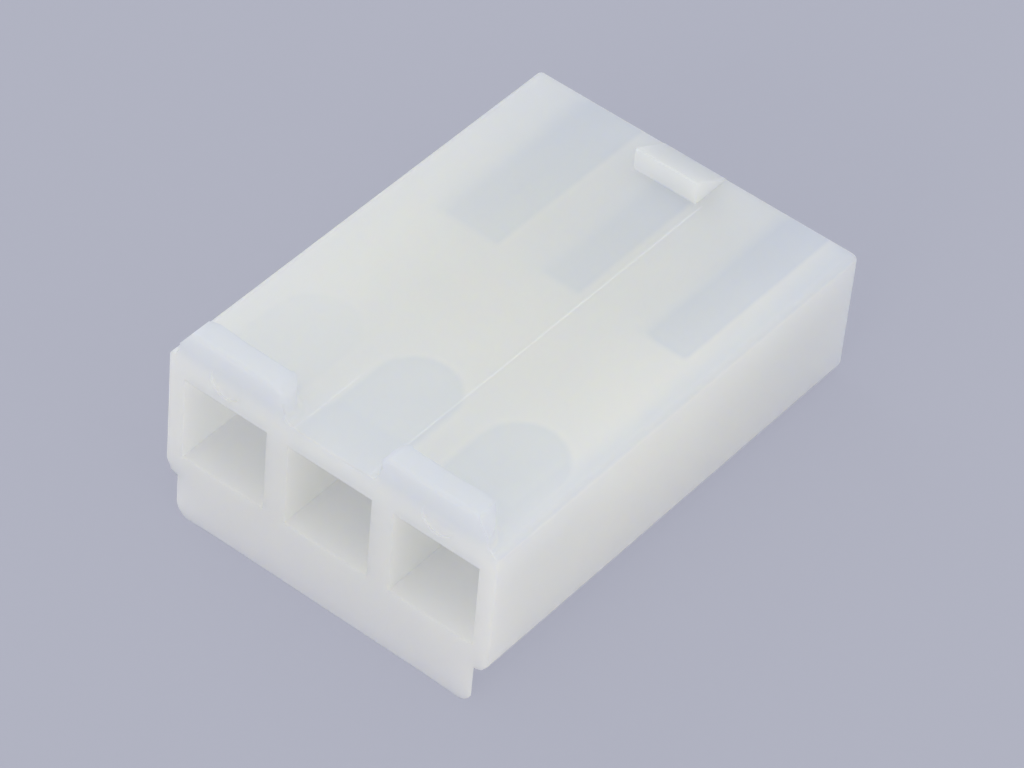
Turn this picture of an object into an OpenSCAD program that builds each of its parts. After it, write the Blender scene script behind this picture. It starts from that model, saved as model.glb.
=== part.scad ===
// Empty housing of a wire to board connector, moulded in one piece from natural nylon.
// X runs along the row of cavities, Y from the mating face to the wire end, Z up.
// The origin is the middle of the mating face's lower edge, at the underside of the body.

/* [Row] */
// Number of cavities side by side
cavities = 3; // [2:1:8]
// Distance from one cavity to the next
pitch = 3.96; // [3.9:0.02:6]

/* [Body] */
// Length of the body from the mating face to the wire end
body_l = 17.1; // [15:0.1:26]
// Wall outside the first and last cavity
side_wall = 0.63; // [0.5:0.01:1.6]
// Wall over the mating sockets
roof = 0.87; // [0.7:0.01:2]
// Wall under the cavities
floor_wall = 0.85; // [0.6:0.01:2]
// Radius of the two long lower edges
lower_edge_r = 0.5; // [0.1:0.05:0.6]
// Radius of the two long upper edges
upper_edge_r = 0.22; // [0.05:0.01:0.4]

/* [Mating socket] */
// Width of the square socket in the mating face
socket_w = 3.12; // [2.6:0.02:3.4]
// Height of the square socket in the mating face
socket_h = 3.12; // [2.6:0.02:4.5]
// Depth of the socket, to the crown of its half-round end
socket_l = 5.4; // [3:0.1:7]

/* [Wire passage] */
// Width of the passage that the terminals slide through
passage_w = 2.64; // [1.6:0.02:2.9]
// Height of the passage
passage_h = 2.1; // [1.5:0.05:2.4]

/* [Crimp channel] */
// Width of the channel in the ceiling of the wire end
channel_w = 1.6; // [1:0.05:2.4]
// Length of the channel, from the wire end inwards
channel_l = 6.9; // [3:0.1:8]
// Wall left over the channel
channel_roof = 0.42; // [0.3:0.02:0.8]

/* [Lip] */
// How far the lip hangs below the underside
lip_drop = 1.6; // [0.8:0.05:2.5]
// Thickness of the lip
lip_t = 0.45; // [0.3:0.05:0.9]
// Setback of each end of the lip from the side of the body
lip_inset = 0.48; // [0.46:0.02:1.5]
// Radius of the lip's lower corners
lip_corner_r = 0.55; // [0.1:0.05:0.7]
// How far each end of the lip slopes in from its front to its back
lip_taper = 0.32; // [0:0.02:0.6]

/* [Keying pads] */
// Height of the two pads over the top of the body
pad_h = 1.13; // [0.9:0.01:2]
// Depth of the pads from the mating face, over which their outer ends are rounded
pad_depth = 0.9; // [0.7:0.02:2.4]
// Length of each pad along the row
pad_l = 4; // [3:0.05:4.6]
// Setback of each pad's outer end from the side of the body
pad_inset = 0.4; // [0.4:0.01:1]
// Length along the row of the slope that cuts each pad's outer upper corner
pad_slope_l = 0.42; // [0.1:0.02:0.8]
// Height of the slope that cuts each pad's outer upper corner
pad_slope_h = 0.62; // [0.1:0.02:0.8]
// Radius of each pad's inner upper corner, seen from the mating face
pad_inner_r = 0.45; // [0.1:0.05:0.85]
// Radius of each pad's inner rear corner, seen from above
pad_rear_r = 0.6; // [0.1:0.05:0.68]
// Radius of the fillet where the pads rise from the top of the body
pad_foot_r = 0.3; // [0.05:0.05:0.5]

/* [Pin marks] */
// Radius of the round mark that a mould pin leaves on the front of each pad
mark_r = 0.57; // [0.3:0.01:0.8]
// Height of the middle of the mark over the ceiling of the socket
mark_rise = 0.88; // [0.85:0.01:1]
// Depth of the mark at its lower edge; it runs out to nothing at its upper edge
mark_depth = 0.06; // [0.02:0.01:0.15]

/* [Thumb wedge] */
// Width of the wedge on top at the wire end
wedge_w = 2.4; // [1.5:0.1:3.4]
// Length of the wedge along the body
wedge_l = 1.6; // [0.8:0.1:3]
// Height of the wedge's steep end
wedge_h = 0.85; // [0.3:0.05:1.2]

/* [Hidden] */
$fn = 64;
cut = 0.1; // overrun of a cutter past the face that it opens
row_l = (cavities - 1) * pitch;
body_w = row_l + socket_w + 2 * side_wall;
body_h = floor_wall + socket_h + roof;
channel_h = body_h - channel_roof - floor_wall;

// Rectangle standing on y = 0, with one radius for its lower and one for its upper corners
module rounded_section(w, h, low_r, high_r) {
    translate([-w / 2, low_r]) square([w, h - low_r - high_r]);
    translate([low_r - w / 2, 0]) square([w - 2 * low_r, h / 2]);
    translate([high_r - w / 2, h / 2]) square([w - 2 * high_r, h / 2]);
    for (side = [-1, 1]) {
        translate([side * (w / 2 - low_r), low_r]) circle(low_r);
        translate([side * (w / 2 - high_r), h - high_r]) circle(high_r);
    }
}

// Carries a section drawn in X and Z along Y, from y = from over the length l
module along_body(from, l) {
    translate([0, from + l, 0]) rotate([90, 0, 0]) linear_extrude(l) children();
}

// One cavity: socket with a half-round end, low passage, and channel in the ceiling behind it
module cavity() {
    socket_r = socket_w / 2;
    translate([-socket_r, -cut, floor_wall]) cube([socket_w, socket_l - socket_r + cut, socket_h]);
    translate([0, socket_l - socket_r, floor_wall]) cylinder(h = socket_h, r = socket_r);
    translate([-passage_w / 2, 0, floor_wall]) cube([passage_w, body_l + cut, passage_h]);
    translate([-channel_w / 2, body_l - channel_l, floor_wall]) cube([channel_w, channel_l + cut, channel_h]);
}

// Outline of a pad seen from the mating face, from its inner end at x = 0, standing on y = 0
module pad_front() {
    square([pad_l / 2, pad_h - pad_inner_r]);
    translate([pad_inner_r, pad_h - pad_inner_r]) circle(pad_inner_r);
    polygon([
        [pad_inner_r, 0],
        [pad_l, 0],
        [pad_l, pad_h - pad_slope_h],
        [pad_l - pad_slope_l, pad_h],
        [pad_inner_r, pad_h]
    ]);
}

// Outline of a pad seen from above: a small inner rear corner, and the outer end one quarter circle
module pad_plan() {
    straight_l = pad_l - pad_depth;
    square([straight_l, pad_depth - pad_rear_r]);
    translate([pad_rear_r, 0]) square([straight_l - pad_rear_r, pad_depth]);
    intersection() {
        square([pad_l, pad_depth]);
        union() {
            translate([pad_rear_r, pad_depth - pad_rear_r]) circle(pad_rear_r);
            translate([straight_l, 0]) circle(pad_depth);
        }
    }
}

// Section of the foot fillet: the wall is at x = 0 and the top of the body at y = 0
module foot_section() {
    difference() {
        square(pad_foot_r);
        translate([pad_foot_r, pad_foot_r]) circle(pad_foot_r);
    }
}

// Fillet round the inner end, the rear and the outer end of a pad, on the flat of the body's top
module pad_foot() {
    side_l = pad_depth - pad_rear_r;
    straight_l = pad_l - pad_depth;
    intersection() {
        union() {
            along_body(0, side_l) mirror([1, 0]) foot_section();
            translate([pad_rear_r, pad_depth, 0]) rotate([90, 0, 90])
                linear_extrude(straight_l - pad_rear_r) foot_section();
            translate([pad_rear_r, side_l, 0]) rotate([0, 0, 90]) rotate_extrude(angle = 90)
                translate([pad_rear_r, 0]) foot_section();
            translate([straight_l, 0, 0]) rotate_extrude(angle = 90)
                translate([pad_depth, 0]) foot_section();
        }
        translate([-pad_foot_r, 0, 0])
            cube([pad_foot_r + pad_l + pad_inset - upper_edge_r, pad_depth + pad_foot_r, pad_foot_r]);
    }
}

// Keying pad on the top edge of the mating face, at the end of the body where x is positive
module pad() {
    translate([body_w / 2 - pad_inset - pad_l, 0, body_h]) {
        intersection() {
            along_body(0, pad_depth) pad_front();
            linear_extrude(pad_h) pad_plan();
        }
        translate([0, 0, -roof / 2]) linear_extrude(roof) pad_plan();
        pad_foot();
    }
}

// Round mark on the front of a pad, sunk askew: a disc that leans back at its lower edge
module pin_mark() {
    lean = asin(mark_depth / (2 * mark_r));
    translate([row_l / 2, 0, floor_wall + socket_h + mark_rise + mark_r]) rotate([lean, 0, 0])
        translate([0, 0, -mark_r]) rotate([90, 0, 0]) cylinder(h = mark_r, r = mark_r);
}

// Lip under the mating face, flush with it, that hooks under the edge of the board header
module lip() {
    lip_w = body_w - 2 * lip_inset;
    rooted = lip_drop + floor_wall;
    translate([0, 0, -lip_drop]) intersection() {
        along_body(0, lip_t) rounded_section(lip_w, rooted, lip_corner_r, lip_corner_r / 10);
        linear_extrude(rooted) polygon([
            [-lip_w / 2, 0],
            [lip_w / 2, 0],
            [lip_w / 2 - lip_taper, lip_t],
            [lip_taper - lip_w / 2, lip_t]
        ]);
    }
}

// Wedge on top at the wire end, steep towards the mating face and falling to the wire end
module thumb_wedge() {
    translate([wedge_w / 2, 0, body_h]) rotate([0, -90, 0]) linear_extrude(wedge_w)
        polygon([
            [-roof / 2, body_l - wedge_l],
            [wedge_h, body_l - wedge_l],
            [0, body_l],
            [-roof / 2, body_l]
        ]);
}

// The whole moulding
module housing() {
    color("#e9ebe6") difference() {
        union() {
            along_body(0, body_l) rounded_section(body_w, body_h, lower_edge_r, upper_edge_r);
            pad();
            mirror([1, 0, 0]) pad();
            lip();
            thumb_wedge();
        }
        for (i = [0 : cavities - 1]) translate([i * pitch - row_l / 2, 0, 0]) cavity();
        pin_mark();
        mirror([1, 0, 0]) pin_mark();
    }
}

housing();
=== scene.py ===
"""Looks of an empty wire to board connector housing, moulded in natural nylon.

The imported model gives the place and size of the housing. This script dresses it: the moulding gets
rounded edges, the witness lines of the mould's inserts and a milky nylon that light sinks into.
"""

import logging
import math
from dataclasses import dataclass, field
from enum import Enum

import bmesh
import bpy
import numpy as np
from mathutils import Matrix, Vector

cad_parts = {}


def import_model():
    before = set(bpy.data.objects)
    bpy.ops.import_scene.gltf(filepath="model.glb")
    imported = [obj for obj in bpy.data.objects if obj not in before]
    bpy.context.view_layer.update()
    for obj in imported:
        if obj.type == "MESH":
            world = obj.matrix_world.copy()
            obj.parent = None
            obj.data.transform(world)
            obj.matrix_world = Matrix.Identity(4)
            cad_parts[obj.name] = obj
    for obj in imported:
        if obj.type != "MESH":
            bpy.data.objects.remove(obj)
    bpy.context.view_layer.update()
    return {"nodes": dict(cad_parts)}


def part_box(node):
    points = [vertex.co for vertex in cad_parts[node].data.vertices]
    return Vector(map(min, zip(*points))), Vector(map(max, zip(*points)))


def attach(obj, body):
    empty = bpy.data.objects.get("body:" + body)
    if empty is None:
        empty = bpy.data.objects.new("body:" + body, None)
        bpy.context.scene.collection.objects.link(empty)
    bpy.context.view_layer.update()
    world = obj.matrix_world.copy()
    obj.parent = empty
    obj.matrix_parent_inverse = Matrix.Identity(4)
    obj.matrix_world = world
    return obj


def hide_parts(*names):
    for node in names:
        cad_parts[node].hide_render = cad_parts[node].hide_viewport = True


MM = 0.001
NEAR_MM = 0.002  # points closer than this to a plane lie on it
SLACK_MM = 0.02  # edges closer than this to a height belong to it
LOG = logging.getLogger("connector_housing")


class Join(Enum):
    """How a math node joins two values."""

    ADD = "ADD"
    SUBTRACT = "SUBTRACT"
    MULTIPLY = "MULTIPLY"
    MAXIMUM = "MAXIMUM"


class Blend(Enum):
    """How a colour mix joins two colours."""

    MIX = "MIX"
    MULTIPLY = "MULTIPLY"


def linear(hex_colour: str) -> tuple[float, float, float, float]:
    """Turns an sRGB hex colour into linear light.

    Args:
        hex_colour: a colour such as "#e8e8e0".

    Returns:
        Red, green, blue and an alpha of one.
    """
    parts = [int(hex_colour[i : i + 2], 16) / 255 for i in (1, 3, 5)]
    light = [c / 12.92 if c <= 0.04045 else ((c + 0.055) / 1.055) ** 2.4 for c in parts]
    return light[0], light[1], light[2], 1.0


def add_node(
    tree: bpy.types.NodeTree, kind: str, settings: dict | None = None, **inputs
) -> bpy.types.Node:
    """Adds a shader node with its settings and links.

    Args:
        tree: the node tree that gets the node.
        kind: the node's type name, without the "ShaderNode" before it.
        settings: properties of the node itself, such as its operation.
        **inputs: a value or an output socket for each input, by name with "_" for a space, or by
            number as "in0".

    Returns:
        The new node.
    """
    node = tree.nodes.new("ShaderNode" + kind)
    for name, value in (settings or {}).items():
        setattr(node, name, value)
    for name, value in inputs.items():
        key = int(name[2:]) if name[:2] == "in" and name[2:].isdigit() else name.replace("_", " ")
        socket = node.inputs[key]
        if isinstance(value, bpy.types.NodeSocket):
            tree.links.new(value, socket)
        else:
            socket.default_value = value
    return node


def new_material(name: str) -> tuple[bpy.types.Material, bpy.types.NodeTree]:
    """Makes an empty node material.

    Args:
        name: the material's name.

    Returns:
        The material and its node tree, with no nodes in it.
    """
    material = bpy.data.materials.new(name)
    material.use_nodes = True
    material.node_tree.nodes.clear()
    return material, material.node_tree


def ramp(
    tree: bpy.types.NodeTree, value: bpy.types.NodeSocket, start: float, end: float
) -> bpy.types.NodeSocket:
    """Rises softly from nought to one between two values.

    Args:
        tree: the node tree.
        value: the value that is tested.
        start: where the ramp leaves nought; more than the end for a ramp that falls.
        end: where it reaches one.

    Returns:
        The ramp's output.
    """
    soft = {"interpolation_type": "SMOOTHSTEP"}
    return add_node(tree, "MapRange", soft, Value=value, From_Min=start, From_Max=end).outputs[0]


def join(
    tree: bpy.types.NodeTree, how: Join, *values: bpy.types.NodeSocket | float
) -> bpy.types.NodeSocket:
    """Joins values with one operation.

    Args:
        tree: the node tree.
        how: the operation.
        *values: two or more values, joined from left to right.

    Returns:
        The result's output.
    """
    result = values[0]
    for value in values[1:]:
        result = add_node(tree, "Math", {"operation": how.value}, in0=result, in1=value).outputs[0]
    return result


def blend(
    tree: bpy.types.NodeTree,
    how: Blend,
    share: bpy.types.NodeSocket,
    first: bpy.types.NodeSocket | tuple[float, ...],
    second: bpy.types.NodeSocket | tuple[float, ...],
) -> bpy.types.NodeSocket:
    """Mixes two colours.

    Args:
        tree: the node tree.
        how: the kind of mix.
        share: the share of the second colour, nought to one.
        first: the first colour.
        second: the second colour.

    Returns:
        The mixed colour's output.
    """
    settings = {"data_type": "RGBA", "blend_type": how.value}
    return add_node(tree, "Mix", settings, in0=share, in6=first, in7=second).outputs[2]


def shine_mix(
    tree: bpy.types.NodeTree,
    share: bpy.types.NodeSocket | float,
    first: bpy.types.Node,
    second: bpy.types.Node,
) -> bpy.types.Node:
    """Mixes two shaders.

    Args:
        tree: the node tree.
        share: the share of the second shader, nought to one.
        first: the node of the first shader.
        second: the node of the second shader.

    Returns:
        The mix node.
    """
    return add_node(tree, "MixShader", Fac=share, in1=first.outputs[0], in2=second.outputs[0])


@dataclass(frozen=True)
class BodySize:
    """The block of the body without its pads, wedge and lip, in mm, in the frame of the part."""

    half_width: float
    length: float
    top: float

    @classmethod
    def measure(cls, node: bpy.types.Object) -> "BodySize":
        """Measures the CAD node.

        The wedge runs out at the wire end, so the highest point there is the top of the body.

        Args:
            node: the CAD node of the housing.

        Returns:
            The size of the body.
        """
        points = np.array([vert.co for vert in node.data.vertices]) / MM
        high = points.max(axis=0)
        at_wire_end = points[:, 1] > high[1] - NEAR_MM
        top = points[at_wire_end, 2].max()
        half_width, length, top = (round(float(v), 4) for v in (high[0], high[1], top))
        return cls(half_width, length, top)


@dataclass(frozen=True)
class PaintedShade:
    """Painted shade where the hollows under the top show through it: the wall is thinner there, so
    less light comes back, and the top is painted darker and cooler. All lengths in mm, in the frame
    of the part.

    A channel is its left and right side and its strength, and a socket its middle and strength.
    """

    channels: tuple[tuple[float, float, float], ...] = (
        (-4.3, -2.0, 0.75),
        (-0.4, 1.1, 0.75),
        (3.55, 5.1, 1.3),
    )
    channel_from: float = 9.95
    channel_fade: tuple[float, float] = (0.2, 0.25)
    sockets: tuple[tuple[float, float], ...] = ((-3.7, 0.25), (0.15, 0.8), (4.1, 0.8))
    socket_r: float = 1.45
    socket_crown_y: float = 3.55
    socket_edge: float = 0.15
    edge: float = 0.45
    skin_from: float = 0.2
    skin_full: float = 0.05
    skin_past: float = 0.1
    end_edge: float = 0.12
    side_wall_from: float = 1.15
    side_wall_full: float = 0.25
    pad_edge: float = 0.5
    pads_to: float = 2.0
    wire_end_from: float = 5.5
    wire_end_past: float = 0.5

    def channel_mask(
        self, tree: bpy.types.NodeTree, place: bpy.types.Node
    ) -> list[bpy.types.NodeSocket]:
        """Makes each channel a band in X, from its start to the wire end.

        Args:
            tree: the node tree.
            place: the position in mm, split into X, Y and Z.

        Returns:
            The strength of the shade of each channel.
        """
        x, y, _ = place.outputs
        before, after = self.channel_fade
        behind = ramp(tree, y, self.channel_from - before, self.channel_from + after)
        parts = []
        for left, right, strength in self.channels:
            rise = ramp(tree, x, left - self.edge, left + self.edge)
            fall = ramp(tree, x, right + self.edge / 4, right - self.edge / 3)
            parts.append(join(tree, Join.MULTIPLY, rise, fall, behind, strength))
        return parts

    def socket_mask(
        self, tree: bpy.types.NodeTree, place: bpy.types.Node
    ) -> list[bpy.types.NodeSocket]:
        """Makes each socket the points closer to its middle line than its radius.

        The middle line stops short of the inner end, so that end becomes a half circle.

        Args:
            tree: the node tree.
            place: the position in mm, split into X, Y and Z.

        Returns:
            The strength of the shade of each socket.
        """
        x, y, _ = place.outputs
        past = join(tree, Join.MAXIMUM, join(tree, Join.SUBTRACT, y, self.socket_crown_y), 0.0)
        parts = []
        for middle, strength in self.sockets:
            off = join(tree, Join.SUBTRACT, x, middle)
            reach = add_node(tree, "CombineXYZ", X=off, Y=past).outputs[0]
            length = add_node(tree, "VectorMath", {"operation": "LENGTH"}, in0=reach)
            far = length.outputs["Value"]
            rim = self.socket_edge
            near = ramp(tree, far, self.socket_r + rim, self.socket_r - rim)
            parts.append(join(tree, Join.MULTIPLY, near, strength))
        return parts

    def mask(
        self, tree: bpy.types.NodeTree, place: bpy.types.Node, body: BodySize
    ) -> bpy.types.NodeSocket:
        """Sums the painted shade on the channels, sockets and right border of the top, and on the
        pads.

        The pads rise over the top in the first two millimetres from the mating face. Light crosses
        them from all sides, and painted shade darkens them as it does the thin walls.

        Args:
            tree: the node tree.
            place: the position in mm, split into X, Y and Z.
            body: the size of the body.

        Returns:
            The strength of the shade, nought to about one.
        """
        x, y, z = place.outputs
        parts = self.channel_mask(tree, place) + self.socket_mask(tree, place)
        on_top = join(
            tree,
            Join.MULTIPLY,
            ramp(tree, z, body.top - self.skin_from, body.top - self.skin_full),
            ramp(tree, z, body.top + self.skin_past, body.top),
            ramp(tree, y, 0.0, self.end_edge),
            ramp(tree, y, body.length, body.length - self.end_edge),
        )
        # painted shade along the right border of the top face
        wall = body.half_width
        parts.append(ramp(tree, x, wall - self.side_wall_from, wall - self.side_wall_full))
        shade = join(tree, Join.MULTIPLY, join(tree, Join.ADD, *parts), on_top)
        # painted shade on the pads
        pad_rise = ramp(tree, z, body.top - self.pad_edge, body.top + self.pad_edge)
        pads = join(tree, Join.MULTIPLY, pad_rise, ramp(tree, y, self.pads_to, self.pads_to / 2))
        return join(tree, Join.ADD, shade, pads)

    def wire_end_shade_mask(
        self, tree: bpy.types.NodeTree, place: bpy.types.Node, body: BodySize
    ) -> bpy.types.NodeSocket:
        """Paints shade that rises towards the wire end, where the passages leave only thin walls.

        Args:
            tree: the node tree.
            place: the position in mm, split into X, Y and Z.
            body: the size of the body.

        Returns:
            The strength of the shade, nought to one.
        """
        start, end = body.length - self.wire_end_from, body.length + self.wire_end_past
        return ramp(tree, place.outputs[1], start, end)


@dataclass(frozen=True)
class WitnessLines:
    """The raised hair lines that the joints of the mould's inserts leave along the top, in mm.

    A line is its place across the body, and how far it runs from the mating face.
    """

    lines: tuple[tuple[float, float], ...] = ((-1.4, 3.1), (1.38, 15.5))
    width: float = 0.05
    run_out: float = 0.1
    skin: float = 0.01

    def mask(
        self, tree: bpy.types.NodeTree, place: bpy.types.Node, body: BodySize
    ) -> bpy.types.NodeSocket:
        """Draws each line from the mating face to its end, on the top face only.

        Args:
            tree: the node tree.
            place: the position in mm, split into X, Y and Z.
            body: the size of the body.

        Returns:
            One on the crest of a line, nought off it.
        """
        x, y, z = place.outputs
        parts = []
        for at, end in self.lines:
            aside = join(tree, Join.SUBTRACT, x, at)
            off = add_node(tree, "Math", {"operation": "ABSOLUTE"}, in0=aside).outputs[0]
            crest = ramp(tree, off, self.width, 0.0)
            parts.append(join(tree, Join.MULTIPLY, crest, ramp(tree, y, end + self.run_out, end)))
        on_top = ramp(tree, z, body.top - 2 * self.skin, body.top - self.skin)
        below_pads = ramp(tree, z, body.top + 2 * self.skin, body.top + self.skin)
        return join(tree, Join.MULTIPLY, join(tree, Join.ADD, *parts), on_top, below_pads)


@dataclass(frozen=True)
class NaturalNylon:
    """Nylon 66 as it leaves the mould, uncoloured.

    It is a milky, part crystalline plastic. Most light that goes in scatters within a millimetre
    or two and comes out again on the same side; the rest crosses the wall and lights the hollows.
    The mould's fine spark-eroded skin leaves a satin gloss.
    """

    body: BodySize
    name: str = "natural nylon 66, injection moulded"
    body_hex: str = "#fefefb"
    # a cooler colour for painted shade, also used for the flow clouds
    shade_and_cloud_hex: str = "#eff2f7"
    # painted shade towards the wire end
    wire_end_shade_hex: str = "#f9fafd"
    clear_share: float = 0.52
    # painted highlight on the witness lines
    line_highlight: float = 0.4
    inner_share: float = 0.5
    ior: float = 1.53
    roughness: float = 0.42
    # Red goes deepest before it is scattered, so thick walls look warmer than thin ones.
    path_mm: tuple[float, float, float] = (1.6, 1.45, 1.0)
    # The melt cools in faint clouds, as wide as a wall is thick and more.
    cloud_mm: float = 2.2
    cloud_strength: float = 0.12
    # The real grain is some 0.02 mm wide. It is drawn coarser, because it wouldn't show.
    grain_mm: float = 0.07
    grain_depth_mm: float = 0.0015
    line_depth_mm: float = 0.006
    # painted shade: the hollows, the right border of the top, the pads and the wire end painted
    # darker
    hollows: PaintedShade = field(default_factory=PaintedShade)
    lines: WitnessLines = field(default_factory=WitnessLines)

    def colour(
        self, tree: bpy.types.NodeTree, place: bpy.types.Node, at_mm: bpy.types.NodeSocket
    ) -> bpy.types.NodeSocket:
        """Mixes the body's colour with a cooler colour for painted shade and for faint flow clouds,
        then paints shade on it towards the wire end.

        Args:
            tree: the node tree.
            place: the position in mm, split into X, Y and Z.
            at_mm: the position in mm.

        Returns:
            The colour's output.
        """
        noise = add_node(tree, "TexNoise", Vector=at_mm, Scale=1 / self.cloud_mm, Detail=3.0)
        cloud = noise.outputs["Fac"]
        # Noise seldom leaves 0.3 to 0.7, so that range is spread to nought to one.
        patchy = add_node(tree, "MapRange", Value=cloud, From_Min=0.3, From_Max=0.7).outputs[0]
        faint = join(tree, Join.MULTIPLY, patchy, self.cloud_strength)
        # painted shade over the hollows, border and pads, with the real flow clouds
        thin = join(tree, Join.ADD, self.hollows.mask(tree, place, self.body), faint)
        mixed = blend(tree, Blend.MIX, thin, linear(self.body_hex), linear(self.shade_and_cloud_hex))
        # painted shade, darker towards the wire end
        wire_end_shade = self.hollows.wire_end_shade_mask(tree, place, self.body)
        return blend(tree, Blend.MULTIPLY, wire_end_shade, mixed, linear(self.wire_end_shade_hex))

    def relief(
        self, tree: bpy.types.NodeTree, at_mm: bpy.types.NodeSocket, crest: bpy.types.NodeSocket
    ) -> bpy.types.NodeSocket:
        """Raises the witness lines and roughens the skin with the mould's fine grain.

        Args:
            tree: the node tree.
            at_mm: the position in mm.
            crest: one on a witness line, nought off it.

        Returns:
            The normal's output.
        """
        noise = add_node(tree, "TexNoise", Vector=at_mm, Scale=1 / self.grain_mm, Detail=2.0)
        fine = join(tree, Join.MULTIPLY, noise.outputs["Fac"], self.grain_depth_mm * MM)
        raised = join(tree, Join.MULTIPLY, crest, self.line_depth_mm * MM)
        height = join(tree, Join.ADD, fine, raised)
        return add_node(tree, "Bump", Height=height, Distance=1.0, Strength=1.0).outputs[0]

    def material(self) -> bpy.types.Material:
        """Builds the material.

        Rays that meet the surface from outside see the milky skin, part of it clear enough to let
        light cross. Rays inside the wall are partly let out and partly thrown back.

        Returns:
            The node material.
        """
        material, tree = new_material(self.name)
        here = add_node(tree, "TexCoord").outputs["Object"]
        in_mm = add_node(tree, "VectorMath", {"operation": "SCALE"}, in0=here, Scale=1 / MM)
        at_mm = in_mm.outputs[0]
        place = add_node(tree, "SeparateXYZ", Vector=at_mm)
        colour = self.colour(tree, place, at_mm)
        crest = self.lines.mask(tree, place, self.body)
        milky = add_node(
            tree,
            "BsdfPrincipled",
            {"subsurface_method": "RANDOM_WALK"},
            Base_Color=colour,
            Roughness=self.roughness,
            IOR=self.ior,
            Normal=self.relief(tree, at_mm, crest),
            Subsurface_Weight=1.0,
            Subsurface_Radius=Vector(self.path_mm) * MM,
            Subsurface_Scale=1.0,
        )
        through = add_node(tree, "BsdfTranslucent", Color=colour)
        # painted highlight: the witness lines are drawn less clear, so they come out lighter
        off_lines = join(tree, Join.SUBTRACT, 1.0, join(tree, Join.MULTIPLY, crest, self.line_highlight))
        clear = join(tree, Join.MULTIPLY, off_lines, self.clear_share)
        skin = shine_mix(tree, clear, milky, through)
        thrown_back = add_node(tree, "BsdfDiffuse", Color=colour)
        inside = shine_mix(tree, self.inner_share, thrown_back, through)
        from_inside = add_node(tree, "NewGeometry").outputs["Backfacing"]
        both = shine_mix(tree, from_inside, skin, inside)
        add_node(tree, "OutputMaterial", Surface=both.outputs[0])
        return material


@dataclass(frozen=True)
class PaleBench:
    """The plain pale bench top, a matt painted board that fades into the backdrop."""

    name: str = "pale painted board"
    board_hex: str = "#b0b2c1"
    paint_hex: str = "#6a6b74"
    glow: float = 0.745
    roughness: float = 0.9
    fade_from_mm: float = 30.0
    fade_to_mm: float = 58.0
    sides: int = 96
    gap_mm: float = 0.01  # keeps the bench clear of the edges that rest on it

    def material(self) -> bpy.types.Material:
        """Builds the material, clear at its rim so that the board has no edge.

        Returns:
            The node material.
        """
        material, tree = new_material(self.name)
        place = add_node(tree, "TexCoord").outputs["Object"]
        reach = add_node(tree, "VectorMath", {"operation": "LENGTH"}, in0=place).outputs["Value"]
        fade = ramp(tree, reach, self.fade_from_mm * MM, self.fade_to_mm * MM)
        paint = linear(self.paint_hex)
        matt = add_node(tree, "BsdfDiffuse", Color=paint, Roughness=self.roughness)
        glow = add_node(tree, "Emission", Color=linear(self.board_hex), Strength=self.glow)
        board = add_node(tree, "AddShader", in0=matt.outputs[0], in1=glow.outputs[0])
        faded = shine_mix(tree, fade, board, add_node(tree, "BsdfTransparent"))
        add_node(tree, "OutputMaterial", Surface=faded.outputs[0])
        return material


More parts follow.
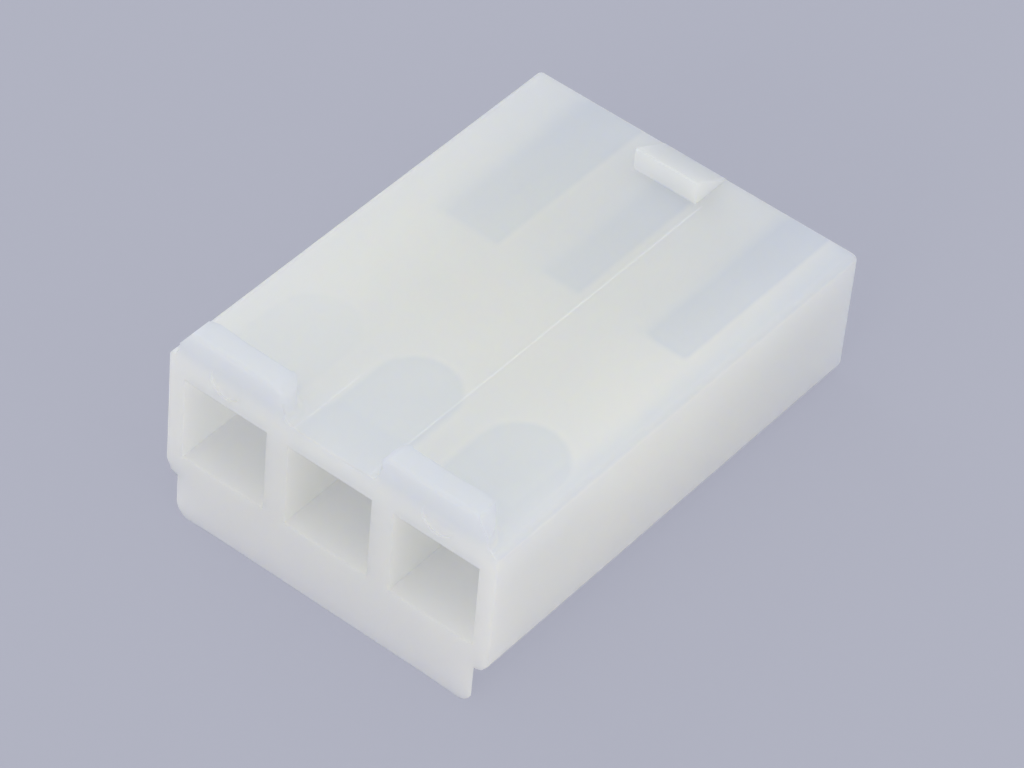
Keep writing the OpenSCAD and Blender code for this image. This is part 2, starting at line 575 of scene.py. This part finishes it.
@dataclass
class MouldedHousing:
    """The one-piece housing, with the small radii that its mould leaves on every outer edge.

    The radii come first. The lengths after them say which edges get which of them, and the last
    values how closely the CAD's triangles are joined before they are rounded.
    """

    body: BodySize
    finish: NaturalNylon
    ridge_r_mm: float = 0.15
    pad_r_mm: float = 0.12
    outer_r_mm: float = 0.08
    wedge_r_mm: float = 0.06
    mouth_r_mm: float = 0.045
    rim_mm: float = 0.52
    top_edge_mm: float = 0.22
    recess_mm: float = 1.44
    slope_x_mm: float = 5.3
    pad_flat_mm: tuple[float, float] = (2.25, 4.9)
    ridge_rise_mm: float = 0.4
    lip_root_mm: float = 0.15
    lip_t_mm: float = 0.45
    lip_corner_mm: float = 0.65
    lip_inset_mm: float = 0.48
    mark_x_mm: float = 3.96
    mark_z_mm: float = 4.85
    mark_reach_mm: float = 0.67
    mark_back_mm: float = 0.2
    low_cut_mm: float = 0.6
    high_cut_mm: float = 0.24
    weld_mm: float = 0.0005
    snap_mm: float = 0.0001
    flat_deg: float = 0.5
    bend_deg: float = 25.0
    sharp_deg: float = 30.0
    segments: int = 4

    def radii(self, ends: np.ndarray, low: np.ndarray, high: np.ndarray) -> np.ndarray:
        """Gives every convex edge the radius of the mould edge that it lies on.

        An edge belongs to the mating face or the wire end when both of its ends lie on it. There
        the outline of the body gets the outer radius and the mouths of the cavities the mouth
        radius. Over the top of the body lie the pads at the mating face and the wedge at the wire
        end, and below it the lip. The shallow pin marks and the lip's sloping ends stay sharp.

        Args:
            ends: both ends of each edge in mm, as edges x 2 x 3.
            low: the lowest corner of the housing in mm.
            high: the highest corner of the housing in mm.

        Returns:
            A radius in mm for each edge, nought for edges that stay sharp.
        """
        top = self.body.top
        middle = ends.mean(axis=1)
        x, y, z = np.abs(middle[:, 0]), middle[:, 1], middle[:, 2]
        front = ends[:, :, 1].max(axis=1) < low[1] + NEAR_MM
        back = ends[:, :, 1].min(axis=1) > high[1] - NEAR_MM
        outline = (x > high[0] - self.rim_mm) | (z > top - self.rim_mm) | (z < self.rim_mm)
        radius = np.zeros(len(ends))
        radius[back | front] = self.mouth_r_mm
        radius[(back | front) & outline] = self.outer_r_mm

        beside_pad = (x > self.recess_mm) & (x < high[0] - self.top_edge_mm)
        radius[front & (z > top - self.rim_mm) & beside_pad] = 0.0
        radius[front & (z < self.lip_root_mm)] = 0.0
        ridge = front & (z > top + self.ridge_rise_mm) & (x < self.slope_x_mm)
        radius[ridge] = self.ridge_r_mm
        pad_top = (z > high[2] - SLACK_MM) & ~front
        radius[pad_top & (x > self.pad_flat_mm[0]) & (x < self.pad_flat_mm[1])] = self.pad_r_mm
        radius[(z > top - SLACK_MM) & (y > high[1] / 2) & ~back] = self.wedge_r_mm

        lip = (z < -SLACK_MM) & (y < self.lip_t_mm + NEAR_MM)
        radius[lip] = 0.0
        between_corners = x < high[0] - self.lip_inset_mm - self.lip_corner_mm
        radius[lip & (z < low[2] + SLACK_MM) & between_corners] = self.outer_r_mm
        mark = np.hypot(x - self.mark_x_mm, z - self.mark_z_mm) < self.mark_reach_mm
        radius[mark & (y < self.mark_back_mm)] = 0.0
        return radius

    def cut_across(self, work: bmesh.types.BMesh) -> None:
        """Cuts the mesh through the middle of each cavity, so that no flat face has a hole in it.

        Args:
            work: the mesh, whose new edges become seams.
        """
        cuts = [((x, 0, 0), (1, 0, 0)) for x in (-self.mark_x_mm, 0.0, self.mark_x_mm)]
        heights = (self.low_cut_mm, self.body.top - self.high_cut_mm)
        cuts += [((0, 0, z), (0, 0, 1)) for z in heights]
        for at, way in cuts:
            cut = bmesh.ops.bisect_plane(
                work,
                geom=work.verts[:] + work.edges[:] + work.faces[:],
                dist=self.snap_mm * MM,
                plane_co=Vector(at) * MM,
                plane_no=way,
            )
            for part in cut["geom_cut"]:
                if isinstance(part, bmesh.types.BMEdge):
                    part.seam = True

    def weigh(self, work: bmesh.types.BMesh) -> None:
        """Writes each edge's radius as its bevel weight, a share of the largest radius.

        Args:
            work: the mesh.
        """
        bend = math.radians(self.bend_deg)
        weights = work.edges.layers.float.new("bevel_weight_edge")
        edges = [
            edge
            for edge in work.edges
            if edge.is_manifold and edge.is_convex and edge.calc_face_angle() > bend
        ]
        ends = np.array([[vert.co for vert in edge.verts] for edge in edges]) / MM
        points = np.array([vert.co for vert in work.verts]) / MM
        radii = self.radii(ends, points.min(axis=0), points.max(axis=0))
        for edge in work.edges:
            edge.smooth = edge.calc_face_angle(0.0) < bend
        for edge, radius in zip(edges, radii):
            edge[weights] = radius / self.ridge_r_mm
            edge.smooth = bool(radius > 0)

    def round_edges(self, piece: bpy.types.Object) -> None:
        """Rounds the weighed edges for good, and shades flat faces flat and radii round.

        Args:
            piece: the housing's object, which gets the rounded mesh.
        """
        bevel = piece.modifiers.new("mould_radii", "BEVEL")
        bevel.width = self.ridge_r_mm * MM
        bevel.segments = self.segments
        bevel.limit_method = "WEIGHT"
        bevel.use_clamp_overlap = False
        bpy.context.view_layer.update()
        depsgraph = bpy.context.evaluated_depsgraph_get()
        rounded = bpy.data.meshes.new_from_object(piece.evaluated_get(depsgraph))
        if "custom_normal" in rounded.attributes:
            rounded.attributes.remove(rounded.attributes["custom_normal"])
        rounded.set_sharp_from_angle(angle=math.radians(self.sharp_deg))
        plain = piece.data
        piece.modifiers.clear()
        piece.data = rounded
        bpy.data.meshes.remove(plain)
        rounded.name = "housing_moulding"
        normals = piece.modifiers.new("face_normals", "WEIGHTED_NORMAL")
        normals.keep_sharp = True

    def build(self, node: bpy.types.Object) -> bpy.types.Object:
        """Copies the CAD solid, joins its loose triangles and rounds its outer edges.

        Args:
            node: the CAD node that the copy stands for.

        Returns:
            The finished mesh object.
        """
        mesh = node.data.copy()
        work = bmesh.new()
        work.from_mesh(mesh)
        bmesh.ops.remove_doubles(work, verts=work.verts, dist=self.weld_mm * MM)
        self.cut_across(work)
        bmesh.ops.dissolve_limit(
            work,
            angle_limit=math.radians(self.flat_deg),
            verts=work.verts,
            edges=work.edges,
            delimit={"SEAM"},
        )
        self.weigh(work)
        work.to_mesh(mesh)
        work.free()
        mesh.materials.clear()
        mesh.materials.append(self.finish.material())
        mesh.polygons.foreach_set("use_smooth", np.ones(len(mesh.polygons), dtype=bool))
        piece = bpy.data.objects.new("housing_moulding", mesh)
        bpy.context.scene.collection.objects.link(piece)
        self.round_edges(piece)
        return piece


@dataclass(frozen=True)
class SoftBox:
    """A square soft box that faces the housing. Its place is from the row's origin, in mm."""

    name: str
    at_mm: tuple[float, float, float]
    size_mm: float
    watts: float
    hex_colour: str

    def build(self) -> bpy.types.Object:
        """Hangs the soft box in its place.

        Returns:
            The light.
        """
        lamp = bpy.data.lights.new(self.name, "AREA")
        lamp.color = linear(self.hex_colour)[:3]
        lamp.size = self.size_mm * MM
        lamp.energy = self.watts
        light = bpy.data.objects.new(self.name, lamp)
        light.location = Vector(self.at_mm) * MM
        light.rotation_mode = "QUATERNION"
        light.rotation_quaternion = (-light.location).to_track_quat("-Z", "Y")
        bpy.context.scene.collection.objects.link(light)
        return light


@dataclass
class Studio:
    """A pale bench under soft light, and the camera in front of the mating face's right end."""

    bench: PaleBench = field(default_factory=PaleBench)
    boxes: tuple[SoftBox, ...] = (
        SoftBox("front_box", (20, -300, 50), 200, 0.28, "#fff3dd"),
        SoftBox("right_box", (300, -5, 0), 200, 0.30, "#fff3dd"),
        SoftBox("left_box", (-220, 60, 160), 160, 0.13, "#ffffff"),
    )
    lens_mm: float = 174.6
    film_mm: float = 36.0
    distance_mm: float = 147.9
    azimuth_deg: float = 35.12
    elevation_deg: float = 44.19
    roll_deg: float = 5.64
    aim_offset_mm: tuple[float, float, float] = (0.22, -0.29, -0.39)
    sky_hex: str = "#b0b2c1"
    zenith_hex: str = "#fafeff"
    zenith: float = 0.875
    zenith_from: float = 0.6

    def lay_bench(self, low: Vector, high: Vector) -> bpy.types.Object:
        """Lays the bench top under the lip and the wire end's lower edge, where the housing rests.

        Args:
            low: the lowest corner of the housing.
            high: the highest corner of the housing.

        Returns:
            The bench top.
        """
        slope = math.atan2(-low.z, high.y)
        mesh = bpy.data.meshes.new("bench_top")
        turn = np.linspace(0, 2 * math.pi, self.bench.sides, endpoint=False)
        reach = self.bench.fade_to_mm * MM
        rim = np.stack([np.cos(turn) * reach, np.sin(turn) * reach, 0 * turn], axis=1)
        mesh.from_pydata(rim.tolist(), [], [list(range(len(rim)))])
        mesh.materials.append(self.bench.material())
        bench = bpy.data.objects.new("bench_top", mesh)
        bench.rotation_euler = (slope, 0, 0)
        middle = Vector((0, high.y / 2, low.z + high.y / 2 * math.tan(slope)))
        bench.location = middle - Vector((0, 0, self.bench.gap_mm * MM))
        bpy.context.scene.collection.objects.link(bench)
        return bench

    def set_camera(self, centre: Vector) -> bpy.types.Object:
        """Puts the camera in place.

        Args:
            centre: the middle of the housing's box.

        Returns:
            The camera.
        """
        turn, rise = math.radians(self.azimuth_deg), math.radians(self.elevation_deg)
        level = math.cos(rise)
        back = Vector((math.sin(turn) * level, -math.cos(turn) * level, math.sin(rise)))
        lens = bpy.data.cameras.new("camera")
        lens.lens = self.lens_mm
        lens.sensor_width = self.film_mm
        lens.clip_start = 10 * MM
        lens.clip_end = 10
        camera = bpy.data.objects.new("camera", lens)
        aim = centre + Vector(self.aim_offset_mm) * MM
        camera.rotation_mode = "QUATERNION"
        roll = Matrix.Rotation(math.radians(self.roll_deg), 3, "Z").to_quaternion()
        camera.rotation_quaternion = (-back).to_track_quat("-Z", "Y") @ roll
        camera.location = aim + back * self.distance_mm * MM
        bpy.context.scene.collection.objects.link(camera)
        bpy.context.scene.camera = camera
        return camera

    def light(self) -> None:
        """Fills the studio with even soft light, stronger from above."""
        world = bpy.data.worlds.new("soft_room")
        world.use_nodes = True
        tree = world.node_tree
        tree.nodes.clear()
        way = add_node(tree, "TexCoord").outputs["Generated"]
        rise = add_node(tree, "SeparateXYZ", Vector=way).outputs["Z"]
        climb = ramp(tree, rise, 0.0, self.zenith_from)
        zenith = add_node(tree, "Background", Color=linear(self.zenith_hex), Strength=self.zenith)
        horizon = add_node(tree, "Background", Color=linear(self.sky_hex), Strength=1.0)
        sky = shine_mix(tree, climb, horizon, zenith)
        add_node(tree, "OutputWorld", Surface=sky.outputs[0])
        bpy.context.scene.world = world
        bpy.context.scene.view_settings.view_transform = "Standard"
        for box in self.boxes:
            box.build()


def main() -> None:
    """Builds the pieces in order and reports each one."""
    logging.basicConfig(level=logging.INFO, format="%(name)s: %(message)s")
    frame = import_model()

    node = frame["nodes"]["housing"]
    body = BodySize.measure(node)
    housing = MouldedHousing(body, NaturalNylon(body))
    piece = housing.build(node)
    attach(piece, "root")
    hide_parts("housing")
    LOG.info("moulded housing: %d faces with its radii", len(piece.data.polygons))

    studio = Studio()
    low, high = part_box("housing")
    studio.lay_bench(low, high)
    studio.set_camera((low + high) / 2)
    studio.light()
    LOG.info("studio: bench, camera and %d soft boxes", len(studio.boxes))


if __name__ == "__main__":
    main()
